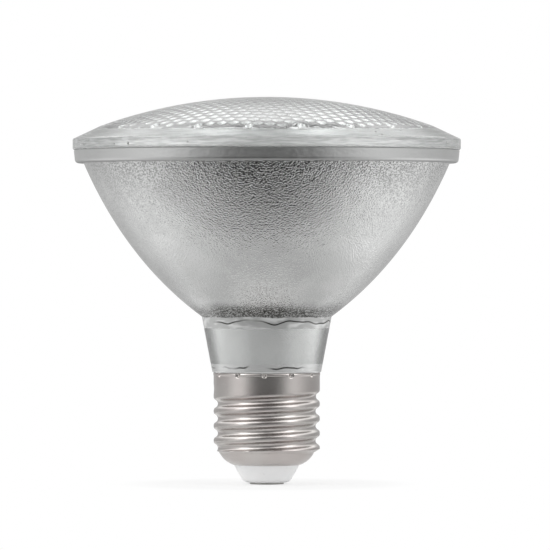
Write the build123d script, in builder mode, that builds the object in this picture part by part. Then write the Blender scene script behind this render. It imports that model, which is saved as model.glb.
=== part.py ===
"""Par spotlight bulb: pressed glass reflector and lens, halogen burner, medium screw cap.

Millimetres. The lamp's axis is Z, the centre contact lies on Z = 0 and the lens looks up.
"""

import os
from math import asin, atan, ceil, cos, degrees, hypot, radians, sin, sqrt

from build123d import *

# Centre contact
contact_plate_r = 4.2
contact_plate_t = 0.35
eyelet_r = 1.4
eyelet_wall = 0.4
eyelet_h = 2.6

# Cap insulator
insulator_h = 4.3
insulator_foot_r = 5.2
insulator_top_r = 8.05
insulator_edge_r = 1.0

# Cap shell
cap_crest_r = 13.09
cap_sheet = 0.3
cap_lip_w = 0.65
shoulder_step = 0.79
shoulder_h = 3.75
shoulder_bulge = 0.5
crest_run_in = 0.8
threaded_h = 14.5
skirt_h = 4.4
thread_pitch = 25.4 / 7
thread_depth = 1.09
thread_land = 0.8
thread_root_w = 1.0
thread_runout_turns = 0.9
cutter_over = 0.4

# Stake marks that lock the cap on the neck
stake_count = 12
stake_turn = -92.65
stake_r = 0.75
stake_depth = 0.5
stake_drop = 0.4
stake_room = 0.1

# Reflector
neck_overhang = 0.36
neck_foot_edge_r = 0.6
neck_h = 13.8
neck_flare = 2.5
neck_wall = 2.2
spigot_gap = 0.3
spigot_nose_h = 3.0
spigot_wall = 2.2
cap_clearance = 0.1
focal_length = 11.6
floor_r = 9.0
floor_lift = 0.29
floor_t = 2.85
bowl_wall = 3.0
bowl_rim_wall = 2.35
flange_step = 0.275
flange_w = 3.1
flange_t = 3.1
flange_edge_r = 0.9

# Lens and its seal
seal_t = 0.2
seal_inset = 0.3
lens_rim_r = 47.625
lens_rim_h = 2.6
lens_rim_edge_r = 0.35
lens_dome_h = 7.15
lens_bevel_w = 6.775
lens_bevel_h = 3.2
lens_wall = 3.2
lens_foot_w = 4.6
lens_chamfer_w = 2.2
pip_count = 20
pip_turn = -78.0
pip_r = 1.5
pip_inset = 1.6

# Hobnail studs on the lens's inner face
stud_pitch = 2.85
stud_gap = 0.12
stud_h = 0.6
stud_root = 0.05
stud_turn = 20.0
stud_margin = 0.2

# Burner capsule
capsule_r = 5.5
capsule_wall = 1.0
capsule_above_focus = 6.0
capsule_shoulder_h = 3.0
tip_r = 1.2
tip_h = 2.0
tip_taper = 15.0
pinch_w = 10.0
pinch_t = 3.4
pinch_edge_r = 1.0
pinch_h = 11.0
pinch_stand = 0.45

# Burner wiring
wire_r = 0.35
wire_bend = 0.8
lead_x = 2.4
foil_w = 2.0
foil_t = 0.1
foil_h = 6.0
foil_inset = 1.6
weld_overlap = 1.2
coil_wire_r = 0.15
coil_clearance = 0.03
coil_pitch = 0.8
coil_turns = 11
coil_grip = 1.2
arm_gap = 1.0

# Cement collar that holds the pinch
cement_t = 0.6
collar_h = 2.0
collar_margin = 2.0

# Cap wiring
pin_reach = 4.0
crimp_wall = 0.4
crimp_h = 4.0
crimp_drop = 2.0
loop_bend = 3.0
wire_hole_gap = 0.25
solder_inset = 0.1
solder_grip = 0.8
weld_r = 0.9
weld_h = 1.2
weld_grip = 0.6

# Radii that fit one another
flange_r = lens_rim_r - flange_step
mouth_r = flange_r - flange_w
lens_dome_r = lens_rim_r - lens_bevel_w
lens_foot_r = lens_rim_r - lens_foot_w
dome_ball_r = (lens_dome_r**2 + lens_dome_h**2) / (2 * lens_dome_h)
neck_foot_r = cap_crest_r + neck_overhang
neck_top_r = neck_foot_r + neck_flare
shoulder_r = cap_crest_r - shoulder_step
cap_bore_r = cap_crest_r - thread_depth - cap_sheet
skirt_bore_r = cap_crest_r - cap_sheet
lip_bore_r = insulator_top_r - cap_lip_w
spigot_r = skirt_bore_r - cap_clearance
eyelet_bore_r = eyelet_r - eyelet_wall
wire_hole_r = wire_r + wire_hole_gap

# Levels up the axis
insulator_z = contact_plate_t
lip_z = insulator_z + insulator_h
shoulder_z = lip_z + shoulder_h
skirt_z = shoulder_z + threaded_h
cap_top_z = skirt_z + skirt_h
neck_top_z = cap_top_z + neck_h
floor_z = neck_top_z + floor_lift
floor_under_z = floor_z - floor_t
vertex_z = floor_z - floor_r**2 / (4 * focal_length)
focus_z = vertex_z + focal_length
flange_top_z = vertex_z + mouth_r**2 / (4 * focal_length)
flange_z = flange_top_z - flange_t
lens_z = flange_top_z + seal_t
rim_top_z = lens_z + lens_rim_h
dome_z = rim_top_z + lens_bevel_h
lens_top_z = dome_z + lens_dome_h


def mirror_r(z):
    """Radius of the parabolic mirror at height z."""
    return sqrt(4 * focal_length * (z - vertex_z))


def save(piece, name):
    """Name one finished piece and write it."""
    piece.part.label = name
    export_step(piece.part, f"parts/{name}.step")


os.makedirs("parts", exist_ok=True)

# Centre contact: a plate with an eyelet that stands up into the insulator
with BuildPart() as centre_contact:
    Cylinder(contact_plate_r, contact_plate_t, align=(Align.CENTER, Align.CENTER, Align.MIN))
    with BuildSketch(Plane.XY.offset(contact_plate_t)):
        Circle(eyelet_r)
    extrude(amount=eyelet_h)
    Hole(eyelet_bore_r)
    fillet(centre_contact.faces().sort_by(Axis.Z)[0].outer_wire().edges(), contact_plate_t / 3)
save(centre_contact, "centre_contact")

# Cap insulator: white cone under the shell, filling the shell's shoulder above the lip
eyelet_top_z = contact_plate_t + eyelet_h
insulator_top_z = shoulder_z + cap_sheet
with BuildPart() as cap_insulator:
    with BuildSketch(Plane.XZ) as insulator_section:
        with BuildLine():
            Polyline(
                (cap_bore_r, insulator_top_z),
                (wire_hole_r, insulator_top_z),
                (wire_hole_r, eyelet_top_z),
                (eyelet_r, eyelet_top_z),
                (eyelet_r, insulator_z),
                (insulator_foot_r, insulator_z),
                (insulator_top_r, lip_z),
                (lip_bore_r, lip_z),
                (lip_bore_r, lip_z + cap_sheet),
            )
            SagittaArc((lip_bore_r, lip_z + cap_sheet), (cap_bore_r, insulator_top_z), -shoulder_bulge)
        make_face()
        fillet(insulator_section.vertices().group_by(Axis.Y)[0].sort_by(Axis.X)[-1], insulator_edge_r)
    revolve(axis=Axis.Z)
save(cap_insulator, "cap_insulator")

# Cap shell: rolled sheet with skirt, round shoulder and inturned lip
groove_mouth = thread_pitch - thread_land
groove_flank = (groove_mouth - thread_root_w) / 2
groove_flare = cutter_over * groove_flank / thread_depth
groove_top_z = skirt_z - groove_mouth / 2
groove_turns = int((groove_top_z - lip_z) / thread_pitch) + 1
groove_foot_z = groove_top_z - groove_turns * thread_pitch
runout_h = thread_runout_turns * thread_pitch
runout_cone = degrees(atan((thread_depth + cap_sheet / 2) / runout_h))
skirt_bore_z = groove_top_z + runout_h
stake_z = cap_top_z - stake_drop
with BuildPart() as cap_shell:
    with BuildSketch(Plane.XZ):
        with BuildLine():
            Polyline(
                (lip_bore_r, lip_z + cap_sheet),
                (lip_bore_r, lip_z),
                (insulator_top_r, lip_z),
            )
            SagittaArc((insulator_top_r, lip_z), (shoulder_r, shoulder_z), -shoulder_bulge)
            Polyline(
                (shoulder_r, shoulder_z),
                (cap_crest_r, shoulder_z + crest_run_in),
                (cap_crest_r, cap_top_z),
                (skirt_bore_r, cap_top_z),
                (skirt_bore_r, skirt_bore_z),
                (cap_bore_r, skirt_bore_z - thread_depth),
                (cap_bore_r, insulator_top_z),
            )
            SagittaArc((cap_bore_r, insulator_top_z), (lip_bore_r, lip_z + cap_sheet), shoulder_bulge)
        make_face()
    revolve(axis=Axis.Z)

    # Stake marks: the sheet is punched inwards into the groove round the spigot
    with PolarLocations(skirt_bore_r + cap_sheet / 2, stake_count, stake_turn):
        with Locations((0, 0, stake_z)):
            Cone(
                stake_r,
                0,
                stake_depth + cap_sheet / 2,
                rotation=(0, -90, 0),
                align=(Align.CENTER, Align.CENTER, Align.MIN),
            )
    with PolarLocations(cap_crest_r, stake_count, stake_turn):
        with Locations((0, 0, stake_z)):
            Cone(
                stake_r,
                0,
                stake_depth,
                rotation=(0, -90, 0),
                align=(Align.CENTER, Align.CENTER, Align.MIN),
                mode=Mode.SUBTRACT,
            )
    split(bisect_by=Plane.XY.offset(cap_top_z), keep=Keep.BOTTOM)

    # Right-hand thread: one groove rolled into the crest cylinder, running out below the skirt
    with BuildLine() as groove_path:
        Helix(thread_pitch, groove_turns * thread_pitch, cap_crest_r, center=(0, 0, groove_foot_z))
    with BuildLine() as runout_path:
        Helix(thread_pitch, runout_h, cap_crest_r, center=(0, 0, groove_top_z), cone_angle=runout_cone)
    for path in (groove_path.line, runout_path.line):
        with BuildSketch(Plane(origin=path @ 0, x_dir=(1, 0, 0), z_dir=groove_path.line % 0)):
            with BuildLine():
                Polyline(
                    (-thread_depth, -thread_root_w / 2),
                    (-thread_depth, thread_root_w / 2),
                    (cutter_over, groove_mouth / 2 + groove_flare),
                    (cutter_over, -groove_mouth / 2 - groove_flare),
                    close=True,
                )
            make_face()
        sweep(path=path, is_frenet=True, mode=Mode.SUBTRACT)
save(cap_shell, "cap_shell")

# Reflector: spigot, neck, bowl and flange pressed as one glass body
spigot_z = skirt_bore_z + spigot_gap
nose_r = cap_bore_r - cap_clearance
nose_z = spigot_z - spigot_nose_h
nose_bore_r = nose_r - spigot_wall
stake_groove_r = skirt_bore_r - stake_depth - stake_room
stake_groove_h = stake_r + stake_room
bowl_top_r = mirror_r(flange_z) + bowl_rim_wall
bowl_mid_r = (mouth_r + neck_top_r) / 2
bowl_mid_z = vertex_z + bowl_mid_r**2 / (4 * focal_length)
bowl_mid_slope = 2 * focal_length / bowl_mid_r
bowl_mid_step = bowl_wall / sqrt(1 + bowl_mid_slope**2)
bulge_r = (4 * (bowl_mid_r + bowl_mid_step) - bowl_top_r - neck_top_r) / 2
bulge_z = (4 * (bowl_mid_z - bowl_mid_step * bowl_mid_slope) - flange_z - neck_top_z) / 2
slot_w = pinch_w + 2 * cement_t
slot_t = pinch_t + 2 * cement_t
slot_edge_r = pinch_edge_r + cement_t
with BuildPart() as reflector:
    with BuildSketch(Plane.XZ):
        with BuildLine():
            Polyline(
                (0, floor_under_z),
                (neck_top_r - neck_wall, floor_under_z),
                (neck_foot_r - neck_wall, cap_top_z + neck_wall),
                (nose_bore_r, cap_top_z),
                (nose_bore_r, nose_z),
                (nose_r, nose_z),
                (nose_r, spigot_z),
                (spigot_r, spigot_z),
                (spigot_r, stake_z - stake_groove_h),
                (stake_groove_r, stake_z),
                (stake_groove_r, cap_top_z),
                (neck_foot_r - neck_foot_edge_r, cap_top_z),
            )
            RadiusArc(
                (neck_foot_r - neck_foot_edge_r, cap_top_z),
                (neck_foot_r, cap_top_z + neck_foot_edge_r),
                -neck_foot_edge_r,
            )
            Line((neck_foot_r, cap_top_z + neck_foot_edge_r), (neck_top_r, neck_top_z))
            Bezier((neck_top_r, neck_top_z), (bulge_r, bulge_z), (bowl_top_r, flange_z))
            Polyline(
                (bowl_top_r, flange_z),
                (flange_r, flange_z),
                (flange_r, flange_top_z),
                (mouth_r, flange_top_z),
            )
            Bezier(
                (mouth_r, flange_top_z),
                ((mouth_r + floor_r) / 2, vertex_z + mouth_r * floor_r / (4 * focal_length)),
                (floor_r, floor_z),
            )
            Polyline((floor_r, floor_z), (0, floor_z), (0, floor_under_z))
        make_face()
    revolve(axis=Axis.Z)
    flange_corners = reflector.edges().filter_by(GeomType.CIRCLE).group_by(SortBy.RADIUS)[-1]
    fillet(flange_corners.sort_by(Axis.Z)[0], flange_edge_r)
    with BuildSketch(Plane.XY.offset(floor_under_z)):
        RectangleRounded(slot_w, slot_t, slot_edge_r)
    extrude(amount=floor_t, mode=Mode.SUBTRACT)
save(reflector, "reflector")

# Lens seal: a thin ring of adhesive on the flange
with BuildPart() as lens_seal:
    with BuildSketch(Plane.XY.offset(flange_top_z)):
        Circle(flange_r - seal_inset)
        Circle(mouth_r + seal_inset, mode=Mode.SUBTRACT)
    extrude(amount=seal_t)
save(lens_seal, "lens_seal")

# Lens: domed glass with a bevel and a flat foot, a ring of round pips inside its edge, and hobnail studs
dome_centre_z = lens_top_z - dome_ball_r
inner_ball_r = dome_ball_r - lens_wall
inner_dome_r = lens_foot_r - lens_chamfer_w
inner_dome_z = dome_centre_z + sqrt(inner_ball_r**2 - inner_dome_r**2)
dome_angle = degrees(asin(lens_dome_r / dome_ball_r))
inner_dome_angle = degrees(asin(inner_dome_r / inner_ball_r))
pip_ring_r = inner_dome_r - pip_inset
pip_z = dome_centre_z + sqrt(inner_ball_r**2 - pip_ring_r**2)
pip_spots = PolarLocations(pip_ring_r, pip_count, pip_turn).local_locations
stud_field_r = inner_dome_r - stud_margin - stud_pitch / 2
stud_rows = 2 * ceil(2 * stud_field_r / (sqrt(3) * stud_pitch)) + 1
with BuildPart() as stud:
    with BuildSketch(Plane.XY.offset(-stud_root)) as stud_foot:
        RegularPolygon((stud_pitch - stud_gap) / 2, 6, major_radius=False)
    loft([stud_foot.sketch.face(), Vertex(0, 0, stud_h)])

# Seats of the studs: a turned honeycomb laid on the inner dome, each seat square to the glass
stud_seats = []
with Locations(Rotation(0, 0, stud_turn)):
    with HexLocations(stud_pitch / 2, stud_rows, stud_rows) as honeycomb:
        for spot in honeycomb.locations:
            x = spot.position.X
            y = spot.position.Y
            pip_gap = min(hypot(x - pip.position.X, y - pip.position.Y) for pip in pip_spots)
            if hypot(x, y) < stud_field_r and pip_gap > pip_r:
                rise = sqrt(inner_ball_r**2 - x**2 - y**2)
                row_x = cos(radians(stud_turn))
                row_y = sin(radians(stud_turn))
                row_dir = (row_x, row_y, -(x * row_x + y * row_y) / rise)
                stud_seats.append(Plane((x, y, dome_centre_z + rise), row_dir, (-x, -y, -rise)))

with BuildPart() as lens:
    with BuildSketch(Plane.XZ):
        with BuildLine():
            CenterArc((0, dome_centre_z), dome_ball_r, 90 - dome_angle, dome_angle)
            Polyline((0, lens_top_z), (0, lens_top_z - lens_wall))
            CenterArc((0, dome_centre_z), inner_ball_r, 90, -inner_dome_angle)
            Polyline(
                (inner_dome_r, inner_dome_z),
                (lens_foot_r, lens_z),
                (lens_rim_r, lens_z),
                (lens_rim_r, rim_top_z),
                (lens_dome_r, dome_z),
            )
        make_face()
    revolve(axis=Axis.Z)
    rim_edges = lens.edges().filter_by(GeomType.CIRCLE).filter_by(Plane.XY).group_by(SortBy.RADIUS)[-1]
    fillet(rim_edges, lens_rim_edge_r)
    with PolarLocations(pip_ring_r, pip_count, pip_turn):
        with Locations((0, 0, pip_z)):
            Sphere(pip_r)
    with Locations(*stud_seats):
        add(stud.part)
save(lens, "lens")

# Burner wiring: foils in the pinch, pins out of it, leads that hold the coil on the focus
coil_r = wire_r + coil_clearance + coil_wire_r
coil_h = coil_turns * coil_pitch
coil_z = focus_z - coil_h / 2
pinch_top_z = floor_z + pinch_stand
shoulder_top_z = pinch_top_z + capsule_shoulder_h
pinch_z = pinch_top_z - pinch_h
foil_z = pinch_z + foil_inset
foil_top_z = foil_z + foil_h
pin_z = pinch_z - pin_reach
arm_low_z = coil_z - arm_gap
arm_high_z = coil_z + coil_h + arm_gap

with BuildPart() as filament:
    with BuildLine() as coil_path:
        Helix(coil_pitch, coil_h, coil_r, center=(0, 0, coil_z))
    with BuildSketch(Plane(origin=coil_path.line @ 0, x_dir=(1, 0, 0), z_dir=coil_path.line % 0)):
        Circle(coil_wire_r)
    sweep(path=coil_path.line, is_frenet=True)
save(filament, "filament")

with BuildPart() as filament_lead_short:
    with BuildLine() as lead_path:
        FilletPolyline(
            (lead_x, 0, foil_top_z - weld_overlap),
            (lead_x, 0, arm_low_z),
            (0, 0, arm_low_z),
            (0, 0, coil_z + coil_grip),
            radius=wire_bend,
        )
    with BuildSketch(Plane(origin=lead_path.line @ 0, z_dir=lead_path.line % 0)):
        Circle(wire_r)
    sweep(path=lead_path.line)
save(filament_lead_short, "filament_lead_short")

with BuildPart() as filament_lead_long:
    with BuildLine() as lead_path:
        FilletPolyline(
            (-lead_x, 0, foil_top_z - weld_overlap),
            (-lead_x, 0, arm_high_z),
            (0, 0, arm_high_z),
            (0, 0, coil_z + coil_h - coil_grip),
            radius=wire_bend,
        )
    with BuildSketch(Plane(origin=lead_path.line @ 0, z_dir=lead_path.line % 0)):
        Circle(wire_r)
    sweep(path=lead_path.line)
save(filament_lead_long, "filament_lead_long")

sides = {"live": lead_x, "neutral": -lead_x}
foils = {}
pins = {}
for side, x in sides.items():
    with BuildPart() as foil:
        with BuildSketch(Plane.XY.offset(foil_z)):
            with Locations((x, -wire_r - foil_t / 2)):
                Rectangle(foil_w, foil_t)
        extrude(amount=foil_h)
    foils[side] = foil
    save(foil, f"seal_foil_{side}")

    with BuildPart() as pin:
        with BuildSketch(Plane.XY.offset(pin_z)):
            with Locations((x, 0)):
                Circle(wire_r)
        extrude(amount=foil_z + weld_overlap - pin_z)
    pins[side] = pin
    save(pin, f"burner_pin_{side}")

    with BuildPart() as crimp:
        with BuildSketch(Plane.XY.offset(pin_z - crimp_drop)):
            with Locations((x, 0)):
                Circle(wire_r + crimp_wall)
                Circle(wire_r, mode=Mode.SUBTRACT)
        extrude(amount=crimp_h)
    save(crimp, f"crimp_{side}")

# Burner capsule: quartz tube with a round end, drawn down into a flat pinch
dome_base_z = focus_z + capsule_above_focus
capsule_bore_r = capsule_r - capsule_wall
with BuildPart() as burner_capsule:
    with BuildSketch(Plane.XZ):
        with BuildLine():
            Polyline((0, dome_base_z + capsule_r), (0, shoulder_top_z), (capsule_r, shoulder_top_z))
            Line((capsule_r, shoulder_top_z), (capsule_r, dome_base_z))
            CenterArc((0, dome_base_z), capsule_r, 0, 90)
        make_face()
    revolve(axis=Axis.Z)
    with BuildSketch(Plane.XY.offset(dome_base_z + capsule_r - capsule_wall / 2)):
        Circle(tip_r)
    extrude(amount=tip_h, taper=tip_taper)
    with BuildSketch(Plane.XY.offset(shoulder_top_z)):
        Circle(capsule_r)
    with BuildSketch(Plane.XY.offset(pinch_top_z)):
        RectangleRounded(pinch_w, pinch_t, pinch_edge_r)
    loft()
    with BuildSketch(Plane.XY.offset(pinch_z)):
        RectangleRounded(pinch_w, pinch_t, pinch_edge_r)
    extrude(amount=pinch_h)
    with BuildSketch(Plane.XZ):
        with BuildLine():
            Polyline(
                (0, dome_base_z + capsule_bore_r),
                (0, shoulder_top_z),
                (capsule_bore_r, shoulder_top_z + capsule_wall),
                (capsule_bore_r, dome_base_z),
            )
            CenterArc((0, dome_base_z), capsule_bore_r, 0, 90)
        make_face()
    revolve(axis=Axis.Z, mode=Mode.SUBTRACT)
    add(filament_lead_short.part, mode=Mode.SUBTRACT)
    add(filament_lead_long.part, mode=Mode.SUBTRACT)
    for side in sides:
        add(foils[side].part, mode=Mode.SUBTRACT)
        add(pins[side].part, mode=Mode.SUBTRACT)
save(burner_capsule, "burner_capsule")

# Cement collar: fills the slot round the pinch and bears on the floor from below
with BuildPart() as burner_cement:
    with BuildSketch(Plane.XY.offset(floor_under_z)):
        RectangleRounded(slot_w, slot_t, slot_edge_r)
    extrude(amount=floor_t)
    with BuildSketch(Plane.XY.offset(floor_under_z)):
        RectangleRounded(slot_w + 2 * collar_margin, slot_t + 2 * collar_margin, slot_edge_r)
    extrude(amount=-collar_h)
    with BuildSketch(Plane.XY.offset(floor_under_z - collar_h)):
        RectangleRounded(pinch_w, pinch_t, pinch_edge_r)
    extrude(amount=collar_h + floor_t, mode=Mode.SUBTRACT)
save(burner_cement, "burner_cement")

# Cap wiring: the live wire drops to the contact, the neutral wire reaches the shell
loop_z = nose_z - loop_bend
with BuildPart() as lead_wire_live:
    with BuildLine() as live_path:
        FilletPolyline(
            (lead_x, 0, pin_z),
            (lead_x, 0, loop_z),
            (0, 0, insulator_top_z + loop_bend),
            (0, 0, solder_inset + solder_grip),
            radius=loop_bend,
        )
    with BuildSketch(Plane(origin=live_path.line @ 0, z_dir=live_path.line % 0)):
        Circle(wire_r)
    sweep(path=live_path.line)
save(lead_wire_live, "lead_wire_live")

with BuildPart() as lead_wire_neutral:
    with BuildLine() as neutral_path:
        FilletPolyline(
            (-lead_x, 0, pin_z),
            (-lead_x, 0, loop_z),
            (-cap_bore_r + weld_h - weld_grip, 0, loop_z),
            radius=loop_bend,
        )
    with BuildSketch(Plane(origin=neutral_path.line @ 0, z_dir=neutral_path.line % 0)):
        Circle(wire_r)
    sweep(path=neutral_path.line)
save(lead_wire_neutral, "lead_wire_neutral")

# Side weld: a bead on the bore of the shell round the end of the neutral wire
with BuildPart() as side_weld:
    with BuildSketch(Plane.YZ.offset(-cap_crest_r)):
        with Locations((0, loop_z)):
            Circle(weld_r)
    extrude(amount=cap_crest_r - cap_bore_r + weld_h)
    with BuildSketch(Plane.XY.offset(loop_z - weld_r)):
        Circle(cap_bore_r)
    extrude(amount=2 * weld_r, mode=Mode.INTERSECT)
    add(lead_wire_neutral.part, mode=Mode.SUBTRACT)
save(side_weld, "side_weld")

# Contact solder: fills the eyelet round the end of the live wire
with BuildPart() as contact_solder:
    with BuildSketch(Plane.XY.offset(solder_inset)):
        Circle(eyelet_bore_r)
    extrude(amount=eyelet_h)
    add(lead_wire_live.part, mode=Mode.SUBTRACT)
save(contact_solder, "contact_solder")
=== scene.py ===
"""Dress for a par spotlight bulb: pressed glass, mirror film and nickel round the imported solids.

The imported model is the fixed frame. Lens, reflector, screw shell and insulator are remade here as fine
surfaces of the same form, the burner and its wiring keep their solids, and every surface gets a finish of its
own. Sizes are in millimetres and become metres when a mesh is made. Half-sections run with the solid on their
left.
"""

import logging
import math
from dataclasses import dataclass
from enum import IntEnum
from typing import Any, Callable, Mapping, Sequence

import bpy
import numpy as np
from mathutils.geometry import delaunay_2d_cdt
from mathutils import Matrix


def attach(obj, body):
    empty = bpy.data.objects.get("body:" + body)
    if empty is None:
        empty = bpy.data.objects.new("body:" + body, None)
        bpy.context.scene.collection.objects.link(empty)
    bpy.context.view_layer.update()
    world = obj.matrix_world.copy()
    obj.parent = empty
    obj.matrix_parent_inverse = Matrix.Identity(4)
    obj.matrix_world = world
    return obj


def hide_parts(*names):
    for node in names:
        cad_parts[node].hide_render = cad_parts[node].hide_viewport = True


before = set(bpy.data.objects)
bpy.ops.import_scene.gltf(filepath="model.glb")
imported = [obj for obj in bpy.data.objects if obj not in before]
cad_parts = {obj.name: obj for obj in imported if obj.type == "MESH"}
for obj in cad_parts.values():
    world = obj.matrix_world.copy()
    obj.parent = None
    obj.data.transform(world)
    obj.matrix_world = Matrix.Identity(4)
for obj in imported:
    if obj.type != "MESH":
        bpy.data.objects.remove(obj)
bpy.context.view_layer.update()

log = logging.getLogger("bulb")
MM = 0.001
BODY = "root"
Array = np.ndarray
Triple = tuple[float, float, float]
Point = tuple[float, float]
# Fineness of a pattern per axis: the same all ways, or without change along z
EVEN: Triple = (1.0, 1.0, 1.0)
LEVEL: Triple = (1.0, 1.0, 0.0)
# What still counts as lying on a surface, in millimetres
CLOSE = 0.01
# The lens's attribute that says how deep a point lies between hobnails, which sets the painted shade of the
# glass there
VALLEY_SHADE = "valley"


# Shapes


def smooth_step(low: float, high: float, x: Array) -> Array:
    """Return x eased from 0 at low to 1 at high along 3t^2 - 2t^3."""
    t = np.clip((x - low) / (high - low), 0.0, 1.0)
    return t * t * (3.0 - 2.0 * t)


def crowded_angles(count: int, each: int, first_deg: float, crowd: float) -> Array:
    """Angles round the axis that crowd together at evenly spaced marks.

    In each mark's period u runs from -1/2 to 1/2, and the angle is u - crowd * sin(2 pi u) / (2 pi) of it.

    Args:
        count: Number of marks.
        each: Angles per mark.
        first_deg: Angle of the first mark in degrees.
        crowd: 0 for even spacing, towards 1 for all the angles at the marks.

    Returns:
        The angles in radians, rising.
    """
    u = np.arange(each) / each - 0.5
    inside = u - crowd * np.sin(2.0 * np.pi * u) / (2.0 * np.pi)
    turns = (np.arange(count)[:, None] + inside[None, :]).ravel() / count
    return math.radians(first_deg) + 2.0 * np.pi * turns


def off_mark(angles: Array, count: int, first_deg: float) -> Array:
    """Return each angle's signed offset, in radians, from the nearest of evenly spaced marks."""
    turns = (angles - math.radians(first_deg)) * count / (2.0 * np.pi)
    return (turns - np.round(turns)) * 2.0 * np.pi / count


def even_angles(count: int, first_deg: float = 0.0) -> Array:
    """Return evenly spaced angles round the axis in radians, from a first one in degrees."""
    return math.radians(first_deg) + 2.0 * np.pi * np.arange(count) / count


def rays(angles: Array) -> Array:
    """Return the unit vectors (cos a, sin a), one row per angle."""
    return np.stack([np.cos(angles), np.sin(angles)], -1)


def nearest(points: Array, spots: Array) -> Array:
    """Return each point's distance to the nearest of the spots."""
    return np.hypot(*(points[:, None] - spots[None]).transpose(2, 0, 1)).min(1)


class Section:
    """A half-section drawn span by span: points (r, z) in millimetres, and a finish number for each span."""

    def __init__(self, start: Point) -> None:
        """Start at one point."""
        self.spans: list[tuple[Array, int]] = [(np.array([start], float), 0)]

    def _last(self) -> Array:
        """Return the last point drawn."""
        return self.spans[-1][0][-1]

    def _take(self, points: Array, finish: int) -> "Section":
        """Add a span's points after the last one, and return the section."""
        self.spans.append((points, int(finish)))
        return self

    def line(self, end: Point, steps: int = 1, finish: int = 0) -> "Section":
        """Draw a straight span of equal steps, and return the section for the next span."""
        t = (np.arange(steps) + 1.0)[:, None] / steps
        return self._take(self._last() * (1.0 - t) + np.array(end) * t, finish)

    def bend(self, control: Point, end: Point, steps: int, finish: int = 0) -> "Section":
        """Draw a parabolic span: (1-t)^2 start + 2t(1-t) control + t^2 end.

        Args:
            control: Where the end tangents meet.
            end: Where it ends.
            steps: Its steps.
            finish: Its finish number.

        Returns:
            The section, for the next span.
        """
        t = (np.arange(steps) + 1.0)[:, None] / steps
        curve = (1 - t) ** 2 * self._last() + 2 * t * (1 - t) * np.array(control) + t**2 * np.array(end)
        return self._take(curve, finish)

    def arc(self, centre: Point, end: Point, steps: int, finish: int = 0) -> "Section":
        """Draw a round span about a centre, the short way.

        Args:
            centre: The arc's centre.
            end: Where it ends.
            steps: Its steps.
            finish: Its finish number.

        Returns:
            The section, for the next span.
        """
        middle = np.array(centre, float)
        first = self._last() - middle
        last = np.array(end) - middle
        sweep = math.atan2(first[0] * last[1] - first[1] * last[0], float(first @ last))
        angle = math.atan2(first[1], first[0]) + sweep * (np.arange(steps) + 1.0) / steps
        return self._take(middle + np.hypot(*first) * rays(angle), finish)

    def bow(self, end: Point, rise: float, steps: int, finish: int = 0) -> "Section":
        """Draw a shallow bowed span that stands a rise off its chord, to the right of its way.

        Args:
            end: Where it ends.
            rise: Height of the bow, negative for the left side.
            steps: Its steps.
            finish: Its finish number.

        Returns:
            The section, for the next span.
        """
        start = self._last()
        way = np.array(end) - start
        side = np.array([way[1], -way[0]]) / np.hypot(*way)
        return self.bend(tuple((start + np.array(end)) / 2 + 2.0 * rise * side), end, steps, finish)

    def drawn(self) -> tuple[Array, Array, Array]:
        """Draw the spans as one.

        Returns:
            Radii, heights, and the finish of the span that leaves each point.
        """
        points = np.concatenate([span for span, _ in self.spans])
        finish = np.repeat([number for _, number in self.spans], [len(span) for span, _ in self.spans])
        return points[:, 0], points[:, 1], np.append(finish[1:], finish[-1])


@dataclass
class Skin:
    """A surface in the making: points in millimetres, quads and triangles of them, and face finishes."""

    points: Array
    quads: Array
    quad_finish: Array
    triangles: Array
    triangle_finish: Array

    def welded(self, other: "Skin") -> "Skin":
        """Join another skin to this one, with points that coincide made one.

        Args:
            other: The skin to join.

        Returns:
            The joined skin.
        """
        points = np.concatenate([self.points, other.points])
        shift = len(self.points)
        _, first, number = np.unique(np.round(points, 5), axis=0, return_index=True, return_inverse=True)
        number = number.ravel()
        return Skin(
            points[first],
            number[np.concatenate([self.quads, other.quads + shift])],
            np.concatenate([self.quad_finish, other.quad_finish]),
            number[np.concatenate([self.triangles, other.triangles + shift])],
            np.concatenate([self.triangle_finish, other.triangle_finish]),
        )

    def piece(
        self, name: str, materials: Sequence[bpy.types.Material], sharp_deg: float = 38.0
    ) -> bpy.types.Object:
        """Make the mesh object, smooth but for edges sharper than an angle, in metres at the origin.

        Args:
            name: The object's name.
            materials: One material per finish number.
            sharp_deg: Edges that turn by more than this stay sharp.

        Returns:
            The object, linked to the scene.
        """
        mesh = bpy.data.meshes.new(name)
        faces = self.quads.tolist() + self.triangles.tolist()
        mesh.from_pydata((self.points * MM).tolist(), [], faces)
        finish = np.concatenate([self.quad_finish, self.triangle_finish])
        mesh.polygons.foreach_set("material_index", finish.astype(np.int32))
        for material in materials:
            mesh.materials.append(material)
        mesh.validate()
        mesh.shade_smooth()
        mesh.set_sharp_from_angle(angle=math.radians(sharp_deg))
        thing = bpy.data.objects.new(name, mesh)
        bpy.context.scene.collection.objects.link(thing)
        return thing


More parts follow.
